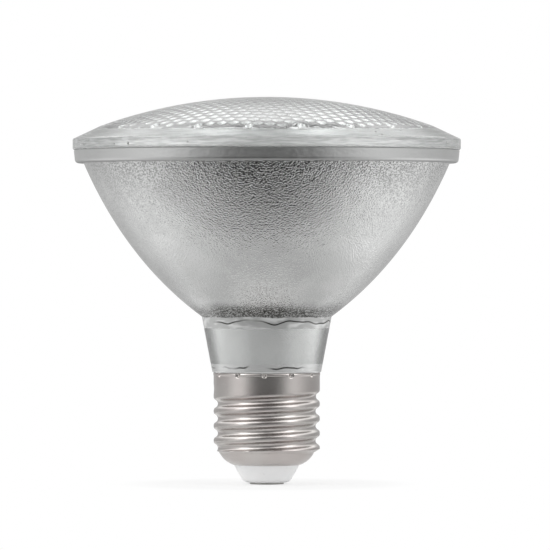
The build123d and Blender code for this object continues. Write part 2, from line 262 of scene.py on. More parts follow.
def spun(radius: Array, height: Array, angles: Array, finish: Array, top_pole: float | None = None) -> Skin:
    """Carry a half-section round the axis: x = r cos a, y = r sin a, z = height.

    Args:
        radius: Radii, one row per section point and one column per angle, or one column for all.
        height: Heights, the same way.
        angles: The angles, rising.
        finish: Finish number of the span that leaves each section point.
        top_pole: Height of the point on the axis that closes an open section, or None for a closed loop.

    Returns:
        The skin, with its faces outwards.
    """
    rows, columns = len(radius), len(angles)
    radius = np.broadcast_to(radius.reshape(rows, -1), (rows, columns))
    height = np.broadcast_to(height.reshape(rows, -1), (rows, columns))
    points = np.stack([radius * np.cos(angles), radius * np.sin(angles), height], -1).reshape(-1, 3)
    row = np.arange(rows if top_pole is None else rows - 1)[:, None] * columns
    above = (row + columns) % (rows * columns)
    column = np.arange(columns)[None, :]
    right = (column + 1) % columns
    quads = np.stack([row + column, row + right, above + right, above + column], -1).reshape(-1, 4)
    quad_finish = np.repeat(finish[: len(row)], columns)
    triangles = np.zeros((0, 3), int)
    if top_pole is not None:
        points = np.concatenate([points, [[0.0, 0.0, top_pole]]])
        last = (rows - 1) * columns
        triangles = np.stack([last + column[0], last + right[0], np.full(columns, rows * columns)], -1)
    return Skin(points, quads, quad_finish, triangles, np.full(len(triangles), finish[-1]))


# Shaders


def operator(operation: str, swapped: bool = False) -> Callable[["Signal", Any], "Signal"]:
    """Make a method of two values that adds a Math node.

    Args:
        operation: The node's operation.
        swapped: Whether the method's own value comes second.

    Returns:
        The method.
    """

    def apply(own: "Signal", other: Any) -> "Signal":
        """Add the node."""
        first, second = (other, own) if swapped else (own, other)
        return own.shader.node("ShaderNodeMath", {"operation": operation}, {0: first, 1: second})

    return apply


class Signal:
    """One output socket of a shader. Arithmetic on it adds Math nodes."""

    __add__ = __radd__ = operator("ADD")
    __sub__ = operator("SUBTRACT")
    __rsub__ = operator("SUBTRACT", True)
    __mul__ = __rmul__ = operator("MULTIPLY")
    __truediv__ = operator("DIVIDE")
    __pow__ = operator("POWER")
    at_least = operator("MAXIMUM")

    def __init__(self, shader: "Shader", socket: bpy.types.NodeSocket) -> None:
        """Wrap a socket of a shader."""
        self.shader = shader
        self.socket = socket

    def also(self, name: str) -> "Signal":
        """Return another output of the same node."""
        return Signal(self.shader, self.socket.node.outputs[name])

    def size(self) -> "Signal":
        """Return the value without its sign."""
        return self.shader.node("ShaderNodeMath", {"operation": "ABSOLUTE"}, {0: self})

    def eased(self, low: float, high: float) -> "Signal":
        """Return the value eased from 0 at low to 1 at high."""
        settings = {"interpolation_type": "SMOOTHSTEP"}
        return self.shader.node("ShaderNodeMapRange", settings, {0: self, 1: low, 2: high, 3: 0.0, 4: 1.0})

    def stroke(self, width: float) -> "Signal":
        """Return 1 where the value is about 0, fading to 0 at a width on both sides."""
        return self.size().eased(width, 0.4 * width)


class Shader:
    """The node tree of one material, world or floor."""

    def __init__(self, owner: bpy.types.Material | bpy.types.World) -> None:
        """Clear the owner's tree.

        Args:
            owner: The material or world.
        """
        owner.use_nodes = True
        self.tree = owner.node_tree
        self.tree.nodes.clear()

    def node(
        self, kind: str, settings: Mapping[str, Any], sockets: Mapping[Any, Any], out: Any = 0
    ) -> Signal | None:
        """Add one node.

        Args:
            kind: The node's type.
            settings: Its properties; stops gives a colour ramp's positions and greys.
            sockets: Values or signals by socket name or number.
            out: Name or number of the output wanted, or None for an end node.

        Returns:
            That output, or None.
        """
        made = self.tree.nodes.new(kind)
        for key, value in settings.items():
            if key == "stops":
                for place, _ in value[2:]:
                    made.color_ramp.elements.new(place)
                for element, (place, tone) in zip(made.color_ramp.elements, value):
                    element.position = place
                    element.color = (tone, tone, tone, 1.0)
            else:
                setattr(made, key, value)
        for key, value in sockets.items():
            socket = made.inputs[key]
            if isinstance(value, Signal):
                self.tree.links.new(value.socket, socket)
            elif socket.type == "RGBA" and len(value) == 3:
                socket.default_value = (*value, 1.0)
            else:
                socket.default_value = value
        return None if out is None else Signal(self, made.outputs[out])

    def place(self, scale: Triple = EVEN) -> Signal:
        """Return Object coordinates, multiplied by a factor per axis."""
        where = self.node("ShaderNodeTexCoord", {}, {}, "Object")
        return self.node("ShaderNodeVectorMath", {"operation": "MULTIPLY"}, {0: where, 1: scale})

    def axes(self) -> tuple[Signal, Signal, Signal]:
        """Return Object x, y and z in millimetres."""
        split = self.node("ShaderNodeSeparateXYZ", {}, {0: self.place((1 / MM, 1 / MM, 1 / MM))}, "X")
        return split, split.also("Y"), split.also("Z")

    def height(self) -> Signal:
        """Return Object z in millimetres."""
        return self.axes()[2]

    def noise(self, per_mm: float, detail: float = 2.0, stretch: Triple = EVEN) -> Signal:
        """Return a cloudy value round 0.5, with features per mm, finer layers and a fineness per axis."""
        sockets = {"Vector": self.place(stretch), "Scale": per_mm / MM, "Detail": detail, "Roughness": 0.55}
        return self.node("ShaderNodeTexNoise", {}, sockets, 0)

    def mix(self, share: Any, first: Any, second: Any) -> Signal:
        """Return a blend of two colours or signals, at a share of 0 the first and at 1 the second."""
        settings = {"data_type": "RGBA", "clamp_factor": True}
        return self.node("ShaderNodeMix", settings, {0: share, 6: first, 7: second}, 2)

    def bump(self, height: Signal, depth_mm: float) -> Signal:
        """Return the normal of a surface raised by a height, of which 1 stands for a depth."""
        return self.node("ShaderNodeBump", {}, {"Strength": 1.0, "Distance": depth_mm * MM, "Height": height})

    def surface(self, sockets: Mapping[str, Any]) -> None:
        """End the tree in a Principled surface with these sockets."""
        shader = self.node("ShaderNodeBsdfPrincipled", {}, sockets)
        self.node("ShaderNodeOutputMaterial", {}, {0: shader}, None)

    def blend(self, share: Signal, first: Signal, second: Signal) -> None:
        """End the tree in a mix of two surfaces, at a share of 0 the first and at 1 the second."""
        both = self.node("ShaderNodeMixShader", {}, {0: share, 1: first, 2: second})
        self.node("ShaderNodeOutputMaterial", {}, {0: both}, None)


# Finishes


def toned(colour: Triple, share: float) -> Triple:
    """Return a colour with each part multiplied by a share."""
    return tuple(share * part for part in colour)


def grey(value: float) -> Triple:
    """Return a plain grey."""
    return value, value, value


@dataclass(frozen=True)
class Finish:
    """A finish by name. Each kind of finish paints its own nodes."""

    name: str

    def paint(self, shader: Shader) -> None:
        """Add the finish's nodes to a cleared tree."""
        raise NotImplementedError

    def material(self) -> bpy.types.Material:
        """Make the material and paint it.

        Returns:
            The material.
        """
        material = bpy.data.materials.new(self.name)
        self.paint(Shader(material))
        return material


@dataclass(frozen=True)
class PressedGlass(Finish):
    """Clear pressed glass: long faint waves and a fine chill ripple, a breath of green, and painted shade
    deep between hobnails.
    """

    tint: Triple = (0.975, 0.988, 0.982)
    wave_mm: float = 0.10
    ripple_mm: float = 0.004
    stretch: Triple = EVEN
    ior: float = 1.5
    frost: float = 0.0
    clear: float = 1.0
    # painted shade: the grey the glass takes deep between hobnails
    valley: Triple = (0.34, 0.35, 0.34)

    def colour(self, shader: Shader) -> Signal:
        """Cloud the tint towards a paler one, and paint shade on it by how deep it lies between hobnails.

        Args:
            shader: The tree to add to.

        Returns:
            The colour.
        """
        paler = tuple(0.5 + 0.5 * part for part in self.tint)
        deep = shader.node("ShaderNodeAttribute", {"attribute_name": VALLEY_SHADE}, {}, "Fac")
        # painted shade: grey the glass by the attribute's depth between hobnails
        return shader.mix(deep, shader.mix(shader.noise(0.08, 2.0), self.tint, paler), self.valley)

    def paint(self, shader: Shader) -> None:
        """Raise waves and ripples on a clear body, duller where the ripple is high.

        Args:
            shader: The tree to add to.
        """
        waves = shader.noise(0.16, 1.0, self.stretch)
        ripple = shader.noise(1.6, 2.0, self.stretch)
        skin = waves * self.wave_mm + ripple * self.ripple_mm
        shader.surface(
            {
                "Base Color": self.colour(shader),
                "Roughness": self.frost + ripple.eased(0.45, 0.9) * 0.03,
                "IOR": self.ior,
                "Transmission Weight": self.clear,
                "Normal": shader.bump(skin, 1.0),
            }
        )


@dataclass(frozen=True)
class RimGlass(PressedGlass):
    """The lens's moulded edge: drawn streaks, a few seeds, and painted shade at its foot, above the joint."""

    # painted shade at the rim's foot, above the joint
    shade: Triple = (0.72, 0.73, 0.72)
    shade_z: Point = (82.0, 82.6)
    shade_sway: float = 1.6
    seed: Triple = (0.12, 0.12, 0.11)
    seeds_per_m: float = 300.0
    seed_z: Point = (84.4, 83.6)

    def colour(self, shader: Shader) -> Signal:
        """Streak and seed the clouded tint, and paint shade on it up to a wandering height above the joint.

        Args:
            shader: The tree to add to.

        Returns:
            The colour.
        """
        z = shader.height()
        wander = z + (shader.noise(0.07, 1.0, LEVEL) - 0.5) * self.shade_sway
        streak = shader.noise(0.9, 2.0, self.stretch)
        streaked = shader.mix(streak.eased(0.35, 0.7), toned(self.tint, 0.66), super().colour(shader))
        spread = {"Vector": shader.place(), "Scale": self.seeds_per_m}
        cells = shader.node("ShaderNodeTexVoronoi", {}, spread, "Distance")
        seeds = cells.eased(0.13, 0.08) * z.eased(*self.seed_z)
        seeded = shader.mix(seeds, streaked, self.seed)
        # painted shade: darken the rim up to a wandering height above the joint
        return shader.mix(wander.eased(*self.shade_z), self.shade, seeded)


@dataclass(frozen=True)
class PebbledSilver(Finish):
    """Silvered glass under an orange-peel skin, with painted shade in the peel's hollows near the rim and in
    a speckled ring above the neck.
    """

    light: Triple = (0.66, 0.665, 0.66)
    dark: Triple = (0.58, 0.585, 0.58)
    # painted shade: the dark of the ring above the neck and of the line below the edge
    shade: Triple = (0.06, 0.06, 0.055)
    film: Triple = (0.58, 0.585, 0.58)
    # painted highlight: the whitish blotches on the film below the edge
    blotch_highlight: Triple = (0.95, 0.955, 0.95)
    peel_per_mm: float = 3.1
    peel_mm: float = 0.165
    peel_z: Point = (52.0, 76.0)
    # painted shade in the peel's hollows near the rim
    pit_shade: Triple = (0.10, 0.10, 0.10)
    pit_shade_share: float = 0.65
    pit_shade_z: Point = (68.0, 80.0)
    edge_z: float = 41.0
    line_z: float = 39.8
    line_w: float = 0.25
    line_sway: float = 4.0
    shade_band_z: Point = (42.2, 45.2)
    shade_band_sway: float = 2.5

    def paint(self, shader: Shader) -> None:
        """Paint shade into the peel's hollows and a speckled ring of the silver above the edge, and paint
        whitish highlights and a broken dark line, partly painted shade, on the film below it.

        Args:
            shader: The tree to add to.
        """
        peel = shader.noise(self.peel_per_mm, 0.0)
        cloud = shader.noise(0.09, 3.0)
        speck = shader.noise(2.4, 1.0)
        z = shader.height()
        # painted shade: a speckled dark ring low on the bowl, above the neck
        shade_band = 1.0 - (z + (cloud - 0.5) * self.shade_band_sway).eased(*self.shade_band_z)
        silver = shader.mix(cloud.eased(0.3, 0.7), self.dark, self.light)
        # painted shade: darken the peel's hollows near the rim
        pit_shadows = peel.eased(0.52, 0.36) * z.eased(*self.pit_shade_z)
        silver = shader.mix(pit_shadows * self.pit_shade_share, silver, self.pit_shade)
        band_shaded = shader.mix(shade_band * (0.35 + 0.65 * speck.eased(0.6, 0.46)), silver, self.shade)
        sway = shader.noise(0.13, 1.0, LEVEL) - 0.5
        above = (z - self.edge_z + sway).eased(-0.15, 0.15)
        # a broken dark line along the film's edge, partly the edge itself and partly painted shade
        line = (z - self.line_z + sway * self.line_sway).stroke(self.line_w)
        drawn = line * shader.noise(0.06, 0.0, LEVEL).eased(0.42, 0.56) * (1.0 - above)
        # painted highlights: whitish blotches on the film below the edge
        highlight_blots = shader.noise(0.3, 1.0, (1.0, 1.0, 2.5)).eased(0.4, 0.75)
        body = shader.mix(above, shader.mix(highlight_blots, self.film, self.blotch_highlight), band_shaded)
        depth = 0.6 + 0.6 * z.eased(*self.peel_z)
        shader.surface(
            {
                "Base Color": shader.mix(drawn, body, self.shade),
                "Metallic": 0.15 + 0.77 * above,
                "Roughness": 0.08 + (speck - 0.5) * 0.06,
                "Coat Weight": 0.35,
                "Coat Roughness": 0.06,
                "Normal": shader.bump(peel * above * depth, self.peel_mm),
            }
        )


@dataclass(frozen=True)
class SilverFilm(Finish):
    """A vapour film of aluminium on glass, with faint clouds in its gloss, and painted shade below a height.
    """

    colour: Triple = (0.88, 0.885, 0.89)
    roughness: float = 0.07
    wave_mm: float = 0.02
    shade_z: Point = (-2.0, -1.0)

    def paint(self, shader: Shader) -> None:
        """Cloud the film's colour, gloss and skin, and paint shade below a height.

        Args:
            shader: The tree to add to.
        """
        cloud = shader.noise(0.15, 3.0)
        fine = shader.noise(1.2, 2.0)
        body = shader.mix(cloud, toned(self.colour, 0.92), self.colour)
        # painted shade: darker below the shade heights
        lit = shader.height().eased(*self.shade_z)
        shader.surface(
            {
                "Base Color": shader.mix(lit, toned(self.colour, 0.6), body),
                "Metallic": 1.0,
                "Roughness": self.roughness * (0.7 + fine * 0.6),
                "Normal": shader.bump(cloud + fine * 0.4, self.wave_mm),
            }
        )


@dataclass(frozen=True)
class NeckFoot(Finish):
    """The neck's foot over its spigot: film under glass, with whitish patches and a broken dark line, partly
    painted shade.
    """

    film: Triple = (0.62, 0.625, 0.62)
    pale_patch: Triple = (0.85, 0.86, 0.85)
    # painted shade: the colour of the broken line near the foot
    shade: Triple = (0.07, 0.07, 0.065)
    glass: Triple = (0.97, 0.98, 0.975)
    ior: float = 1.5
    line_z: float = 28.7
    line_w: float = 0.28
    line_sway: float = 2.4

    def paint(self, shader: Shader) -> None:
        """Lay whitish patches on the film and draw the line of painted shade on the outside, and leave the
        inside clear.

        Args:
            shader: The tree to add to.
        """
        # a broken dark line along the film's lower edge, partly the edge and partly painted shade
        edge = shader.height() - self.line_z + (shader.noise(0.16, 2.0, LEVEL) - 0.5) * self.line_sway
        patch = shader.noise(0.11, 1.0, (1.0, 1.0, 0.3)).eased(0.48, 0.6)
        pale_patch = shader.noise(0.5, 2.0, (1.0, 1.0, 2.0)).eased(0.6, 0.75)
        body = shader.mix(pale_patch * 0.6, self.film, self.pale_patch)
        outside = {
            "Base Color": shader.mix(edge.stroke(self.line_w) * patch, body, self.shade),
            "Metallic": 0.92,
            "Roughness": 0.22,
            "Coat Weight": 1.0,
            "Coat Roughness": 0.03,
            "Normal": shader.bump(edge, 0.05),
        }
        skin = shader.node("ShaderNodeBsdfPrincipled", {}, outside)
        inside = {"Color": self.glass, "Roughness": 0.0, "IOR": self.ior}
        glass = shader.node("ShaderNodeBsdfGlass", {}, inside)
        shader.blend(shader.node("ShaderNodeNewGeometry", {}, {}, "Backfacing"), skin, glass)


@dataclass(frozen=True)
class NickelPlate(Finish):
    """Satin nickel on rolled brass: a fine grain, long drawing marks and warm clouds."""

    colour: Triple = (0.58, 0.555, 0.535)
    warm: Triple = (0.54, 0.50, 0.485)
    roughness: float = 0.24
    grain_mm: float = 0.018

    def paint(self, shader: Shader) -> None:
        """Cloud the colour, and raise the grain and the marks.

        Args:
            shader: The tree to add to.
        """
        cloud = shader.noise(0.10, 3.0)
        grain = shader.noise(4.0, 2.0)
        marks = shader.noise(1.2, 2.0, (0.3, 0.3, 4.0))
        shader.surface(
            {
                "Base Color": shader.mix(cloud.eased(0.35, 0.7), self.colour, self.warm),
                "Metallic": 1.0,
                "Roughness": self.roughness + (marks - 0.5) * 0.10,
                "Normal": shader.bump(grain + marks * 0.4, self.grain_mm),
            }
        )


@dataclass(frozen=True)
class Moulded(Finish):
    """A moulded or cemented body: cloudy colour, a fine skin and a little gloss."""

    colour: Triple
    shade: Triple
    roughness: float
    coat: float = 0.0
    skin_per_mm: float = 1.5
    skin_mm: float = 0.01

    def paint(self, shader: Shader) -> None:
        """Cloud the colour, and raise the skin.

        Args:
            shader: The tree to add to.
        """
        cloud = shader.noise(0.25, 3.0)
        skin = shader.noise(self.skin_per_mm, 3.0)
        shader.surface(
            {
                "Base Color": shader.mix(cloud.eased(0.3, 0.75), self.colour, self.shade),
                "Roughness": self.roughness + (skin - 0.5) * 0.15,
                "Coat Weight": self.coat,
                "Coat Roughness": 0.1,
                "Normal": shader.bump(skin, self.skin_mm),
            }
        )


@dataclass(frozen=True)
class DrawnMetal(Finish):
    """Drawn or soldered metal: streaks along the wire and a dull cloud."""

    colour: Triple
    roughness: float
    streak_mm: float = 0.008

    def paint(self, shader: Shader) -> None:
        """Streak the colour, the gloss and the skin.

        Args:
            shader: The tree to add to.
        """
        streak = shader.noise(6.0, 2.0, (1.0, 1.0, 0.15))
        shader.surface(
            {
                "Base Color": shader.mix(streak, self.colour, toned(self.colour, 0.75)),
                "Metallic": 1.0,
                "Roughness": self.roughness + (streak - 0.5) * 0.2,
                "Normal": shader.bump(streak, self.streak_mm),
            }
        )


# Sub-assemblies


def settle(thing: bpy.types.Object, node: str) -> None:
    """Put a new piece in a solid's place.

    Args:
        thing: The piece.
        node: The solid that it stands for.
    """
    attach(thing, BODY)
    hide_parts(node)
    log.info("%s: %d faces for %s", thing.name, len(thing.data.polygons), node)


def dress(node: str, material: bpy.types.Material) -> None:
    """Give a solid that stays its finish.

    Args:
        node: The solid.
        material: Its material.
    """
    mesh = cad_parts[node].data
    mesh.materials.clear()
    mesh.materials.append(material)
    log.info("%s: keeps its solid", node)


@dataclass
class Lens:
    """The domed front glass: bevel, rim, and inside the dome a ring of pips round a honeycomb of hobnails."""

    rim_r: float = 47.625
    foot_z: float = 82.04
    rim_h: float = 2.6
    edge_r: float = 0.35
    bevel_w: float = 6.775
    bevel_h: float = 3.2
    dome_h: float = 7.15
    pole_r: float = 1.2
    wall: float = 3.2
    foot_w: float = 4.6
    chamfer_w: float = 2.2
    pips: int = 20
    pip_turn: float = -78.0
    pip_r: float = 1.5
    pip_inset: float = 1.6
    pip_gap: float = 0.25
    pip_columns: int = 24
    pip_rings: tuple[float, ...] = (0.02, 0.3, 0.57, 0.77, 0.91, 0.975, 1.0, 1.03)
    stud_pitch: float = 2.85
    stud_h: float = 0.62
    stud_turn: float = -10.0
    stud_margin: float = 0.2
    stud_cuts: int = 3
    valley_margin: float = 1.0

    def __post_init__(self) -> None:
        """Work out the two balls that the dome lies between."""
        self.rim_top_z = self.foot_z + self.rim_h
        self.dome_z = self.rim_top_z + self.bevel_h
        self.top_z = self.dome_z + self.dome_h
        self.dome_r = self.rim_r - self.bevel_w
        self.ball_r = (self.dome_r**2 + self.dome_h**2) / (2 * self.dome_h)
        self.ball_z = self.top_z - self.ball_r
        self.inner_ball_r = self.ball_r - self.wall
        self.foot_r = self.rim_r - self.foot_w
        self.inner_r = self.foot_r - self.chamfer_w
        self.inner_z = float(self.inner_height(np.array(self.inner_r)))

    def inner_height(self, radius: Array) -> Array:
        """Return the height of the plain inner ball: ball centre + sqrt(R^2 - r^2)."""
        return self.ball_z + np.sqrt(self.inner_ball_r**2 - radius**2)

    def shell(self, angles: Array) -> Skin:
        """Make the chamfer, the foot, the rim, the bevel and the outer dome, up to the pole.

        Args:
            angles: The angles round the axis.

        Returns:
            The skin, open at its inner edge.
        """
        edge = self.edge_r
        slope = math.atan2(self.bevel_h, self.bevel_w)
        top_run = edge * math.tan((math.pi / 2 - slope) / 2)
        rim_corner = (self.rim_r - top_run * math.cos(slope), self.rim_top_z + top_run * math.sin(slope))
        section = Section((self.inner_r, self.inner_z)).line((self.foot_r, self.foot_z), 3, 1)
        section.line((self.rim_r - edge, self.foot_z), 4, 1)
        section.arc((self.rim_r - edge, self.foot_z + edge), (self.rim_r, self.foot_z + edge), 4, 1)
        section.line((self.rim_r, self.rim_top_z - top_run), 5, 1)
        section.arc((self.rim_r - edge, self.rim_top_z - top_run), rim_corner, 4, 1)
        section.line((self.dome_r, self.dome_z), 6, 2)
        pole_z = self.ball_z + math.sqrt(self.ball_r**2 - self.pole_r**2)
        section.arc((0.0, self.ball_z), (self.pole_r, pole_z), 26)
        radius, height, finish = section.drawn()
        return spun(radius, height, angles, finish, self.top_z)

    def hobnails(self, angles: Array) -> Skin:
        """Make the inner dome under its studs and pips, as a net of triangles in step with the honeycomb.

        The net's points are i a + j b on two axes 60 degrees apart, a stud's corner distance over stud_cuts
        long, with rings of points about each pip. A point lies below the plain inner ball by
        h (1 - d^2 / corner^2), d its distance to the nearest stud's centre. Under a pip it lies on the pip's
        ball, pip height - sqrt(pip_r^2 - d^2).

        Args:
            angles: The angles of the edge's points.

        Returns:
            The skin, with its edge on the shell's inner edge.
        """
        corner = self.stud_pitch / math.sqrt(3.0)
        step = corner / self.stud_cuts
        row = math.radians(self.stud_turn)
        shift = self.stud_origin(row)
        reach = int(self.inner_r / step * 1.3) + 3
        i, j = np.meshgrid(np.arange(-reach, reach + 1), np.arange(-reach, reach + 1))
        flat = np.stack([i.ravel(), j.ravel()], -1) @ self.leaning(row - np.pi / 6, step).T + shift
        ring_r = self.inner_r - self.pip_inset
        spots = ring_r * rays(even_angles(self.pips, self.pip_turn))
        clear = nearest(flat, spots) > self.pip_r + self.pip_gap
        flat = flat[clear & (np.hypot(*flat.T) < self.inner_r - 0.5 * step)]
        rings = self.pip_r * np.array(self.pip_rings)
        disc = (rings[:, None, None] * rays(even_angles(self.pip_columns))[None]).reshape(-1, 2)
        discs = (spots[:, None] + disc[None]).reshape(-1, 2)
        edge = self.inner_r * rays(angles)
        net = delaunay_2d_cdt(np.concatenate([flat, discs, edge]).tolist(), [], [], 0, 1e-7)
        flat = np.array([tuple(v) for v in net[0]])
        triangles = np.array(net[2])[:, ::-1]
        seat, far = self.nearest_stud(flat, shift, row)
        kept = np.hypot(*seat.T) < self.inner_r - self.stud_margin - self.stud_pitch / 2
        kept &= nearest(seat, spots) > self.pip_r
        plain = self.inner_height(np.minimum(np.hypot(*flat.T), self.inner_r))
        height = plain - np.where(kept, self.stud_h * (1.0 - (far / corner) ** 2), 0.0)
        gap = nearest(flat, spots)
        ball = float(self.inner_height(np.array(ring_r))) - np.sqrt(np.maximum(self.pip_r**2 - gap**2, 0.0))
        height = np.where(gap < 1.001 * self.pip_r, np.minimum(height, ball), height)
        points = np.column_stack([flat, height])
        return Skin(points, np.zeros((0, 4), int), np.zeros(0, int), triangles, np.zeros(len(triangles), int))

    def stud_origin(self, row: float) -> Array:
        """Return the stud's centre that is next to the axis, for rows at an angle."""
        return 0.25 * self.stud_pitch * np.array([math.sin(row + np.pi / 6), -math.cos(row + np.pi / 6)])

    def leaning(self, turn: float, step: float) -> Array:
        """Return two axes 60 degrees apart as columns, of one length, the first at an angle."""
        both = np.array([turn, turn + np.pi / 3])
        return step * np.stack([np.cos(both), np.sin(both)])

    def nearest_stud(self, flat: Array, shift: Array, row: float) -> tuple[Array, Array]:
        """Find the honeycomb centre next to each point: the nearest of its lattice cell's four corners.

        Args:
            flat: The points in plan.
            shift: One of the centres.
            row: The rows' angle.

        Returns:
            The centres, and the points' distances to them.
        """
        basis = self.leaning(row, self.stud_pitch)
        cell = np.floor(np.linalg.solve(basis, (flat - shift).T))
        near = np.stack([(basis @ (cell + np.array([[u], [v]]))).T for u in (0, 1) for v in (0, 1)]) + shift
        far = np.hypot(*(near - flat).transpose(2, 0, 1))
        best = far.argmin(0)
        return near[best, np.arange(len(flat))], far.min(0)

    def valleys(self, points: Array) -> Array:
        """Rate how deep points of the inner face lie between the hobnails, for the glass's painted shade.

        The rate rises as the fourth power of the distance to the nearest stud's centre, 1 at a stud's corner,
        and is 0 off the honeycomb.

        Args:
            points: The lens's points.

        Returns:
            The rates.
        """
        row = math.radians(self.stud_turn)
        _, far = self.nearest_stud(points[:, :2], self.stud_origin(row), row)
        radius = np.hypot(points[:, 0], points[:, 1])
        plain = self.inner_height(np.minimum(radius, self.inner_r))
        inside = (radius < self.inner_r - self.valley_margin) & (points[:, 2] < plain + CLOSE)
        return np.where(inside, (far * math.sqrt(3.0) / self.stud_pitch) ** 4, 0.0)

    def build(self, glass: PressedGlass, bevel: PressedGlass, rim: RimGlass, seal: Moulded) -> None:
        """Make the lens and dress the seal under it.

        Args:
            glass: The lens's finish.
            bevel: The finish of the bevel round it.
            rim: The finish of its edge.
            seal: The adhesive's finish.
        """
        angles = crowded_angles(self.pips, self.pip_columns, self.pip_turn, 0.45)
        skin = self.shell(angles).welded(self.hobnails(angles))
        thing = skin.piece("lens_glass", [glass.material(), rim.material(), bevel.material()], 50.0)
        # the rates set the painted shade between hobnails
        rates = thing.data.attributes.new(VALLEY_SHADE, "FLOAT", "POINT")
        rates.data.foreach_set("value", self.valleys(skin.points).astype(np.float32))
        settle(thing, "lens")
        dress("lens_seal", seal.material())


class Zone(IntEnum):
    """Where a stretch of the reflector's skin lies, which is also its finish number."""

    MIRROR = 0
    FLANGE = 1
    BOWL = 2
    NECK = 3
    NECK_FILM = 4
    NECK_FOOT = 5


@dataclass
class Reflector:
    """The pressed glass body: flange, pebbled bowl, clear neck over a silvered bore, spigot in the cap."""

    foot_r: float = 13.45
    foot_z: float = 27.3
    foot_edge_r: float = 0.6
    neck_r: float = 15.95
    neck_z: float = 41.1
    neck_wall: float = 2.2
    floor_r: float = 9.0
    floor_z: float = 41.39
    floor_t: float = 2.85
    focal: float = 11.6
    vertex_z: float = 39.6443
    bowl_wall: float = 3.0
    bowl_rim_wall: float = 2.35
    mouth_r: float = 44.25
    flange_r: float = 47.35
    flange_z: float = 78.7425
    flange_top_z: float = 81.8425
    flange_edge_r: float = 0.9
    flange_draft: float = 0.24
    nose_bore_r: float = 9.4
    nose_r: float = 11.6
    nose_z: float = 22.05
    spigot_r: float = 12.69
    spigot_z: float = 25.05
    groove_r: float = 12.19
    groove_low_z: float = 26.05
    groove_z: float = 26.9
    slot_half: Point = (5.6, 2.3)
    slot_edge_r: float = 1.6
    clear_low_z: float = 29.6
    clear_high_z: float = 38.3
    under_steps: int = 8
    floor_steps: int = 6
    columns: int = 320

    def slot_reach(self, angles: Array) -> Array:
        """Work out the distance from the axis to the pinch slot's edge, a rectangle with round corners.

        A ray meets a side at half / |cos| or half / |sin|, and a corner's circle at b + sqrt(b^2 - c).

        Args:
            angles: The rays' angles.

        Returns:
            The distances.
        """
        across = np.maximum(np.abs(np.cos(angles)), 1e-9)
        along = np.maximum(np.abs(np.sin(angles)), 1e-9)
        wide, deep = self.slot_half
        reach = np.minimum(wide / across, deep / along)
        corner_x, corner_y = wide - self.slot_edge_r, deep - self.slot_edge_r
        b = across * corner_x + along * corner_y
        c = corner_x**2 + corner_y**2 - self.slot_edge_r**2
        round_reach = b + np.sqrt(np.maximum(b * b - c, 0.0))
        in_corner = (reach * across > corner_x) & (reach * along > corner_y)
        return np.where(in_corner, round_reach, reach)

    def on_neck(self, height: float) -> Point:
        """Return the point of the neck's outside at a height."""
        low = self.foot_z + self.foot_edge_r
        return self.foot_r + (self.neck_r - self.foot_r) * (height - low) / (self.neck_z - low), height

    def on_mirror(self, radius: float) -> float:
        """Return the height of the paraboloid: vertex + r^2 / (4 focal)."""
        return self.vertex_z + radius**2 / (4 * self.focal)

    def bulge(self, top_r: float) -> Point:
        """Work out the control point that puts the bowl's outside one wall off the mirror at mid-radius.

        Args:
            top_r: Radius of the bowl's outside under the flange.

        Returns:
            The control point of the outside's parabolic span.
        """
        mid_r = (self.mouth_r + self.neck_r) / 2
        slope = 2 * self.focal / mid_r
        step = self.bowl_wall / math.sqrt(1 + slope**2)
        low_z = self.on_mirror(mid_r) - step * slope
        radius = (4 * (mid_r + step) - top_r - self.neck_r) / 2
        return radius, (4 * low_z - self.flange_z - self.neck_z) / 2

    def section(self) -> Section:
        """Draw the half-section from the slot's lower edge round to its upper edge.

        Returns:
            The section, with zones for finishes.
        """
        under_z = self.floor_z - self.floor_t
        drawn = Section((0.0, under_z))
        drawn.line((self.neck_r - self.neck_wall, under_z), self.under_steps, Zone.NECK_FILM)
        drawn.line((self.foot_r - self.neck_wall, self.foot_z + self.neck_wall), 24, Zone.NECK_FILM)
        drawn.line((self.nose_bore_r, self.foot_z), 4, Zone.NECK_FILM)
        spigot = (
            (self.nose_bore_r, self.nose_z, 2),
            (self.nose_r, self.nose_z, 2),
            (self.nose_r, self.spigot_z, 2),
            (self.spigot_r, self.spigot_z, 1),
            (self.spigot_r, self.groove_low_z, 1),
            (self.groove_r, self.groove_z, 1),
            (self.groove_r, self.foot_z, 1),
            (self.foot_r - self.foot_edge_r, self.foot_z, 2),
        )
        for radius, height, steps in spigot:
            drawn.line((radius, height), steps, Zone.NECK)
        foot_top_z = self.foot_z + self.foot_edge_r
        drawn.arc((self.foot_r - self.foot_edge_r, foot_top_z), (self.foot_r, foot_top_z), 6, Zone.NECK_FOOT)
        drawn.line(self.on_neck(self.clear_low_z), 6, Zone.NECK_FOOT)
        drawn.line(self.on_neck(self.clear_high_z), 20, Zone.NECK)
        drawn.line((self.neck_r, self.neck_z), 6, Zone.BOWL)
        top_r = math.sqrt(4 * self.focal * (self.flange_z - self.vertex_z)) + self.bowl_rim_wall
        drawn.bend(self.bulge(top_r), (top_r, self.flange_z), 56, Zone.BOWL)
        low_r = self.flange_r - self.flange_draft
        edge = self.flange_edge_r
        drawn.line((low_r - edge, self.flange_z), 3, Zone.FLANGE)
        drawn.arc((low_r - edge, self.flange_z + edge), (low_r, self.flange_z + edge), 6, Zone.FLANGE)
        drawn.line((self.flange_r, self.flange_top_z), 6, Zone.FLANGE)
        drawn.line((self.mouth_r, self.flange_top_z), 4, Zone.FLANGE)
        tangent_z = self.vertex_z + self.mouth_r * self.floor_r / (4 * self.focal)
        control = ((self.mouth_r + self.floor_r) / 2, tangent_z)
        drawn.bend(control, (self.floor_r, self.floor_z), 44, Zone.MIRROR)
        return drawn.line((0.0, self.floor_z), self.floor_steps, Zone.MIRROR)

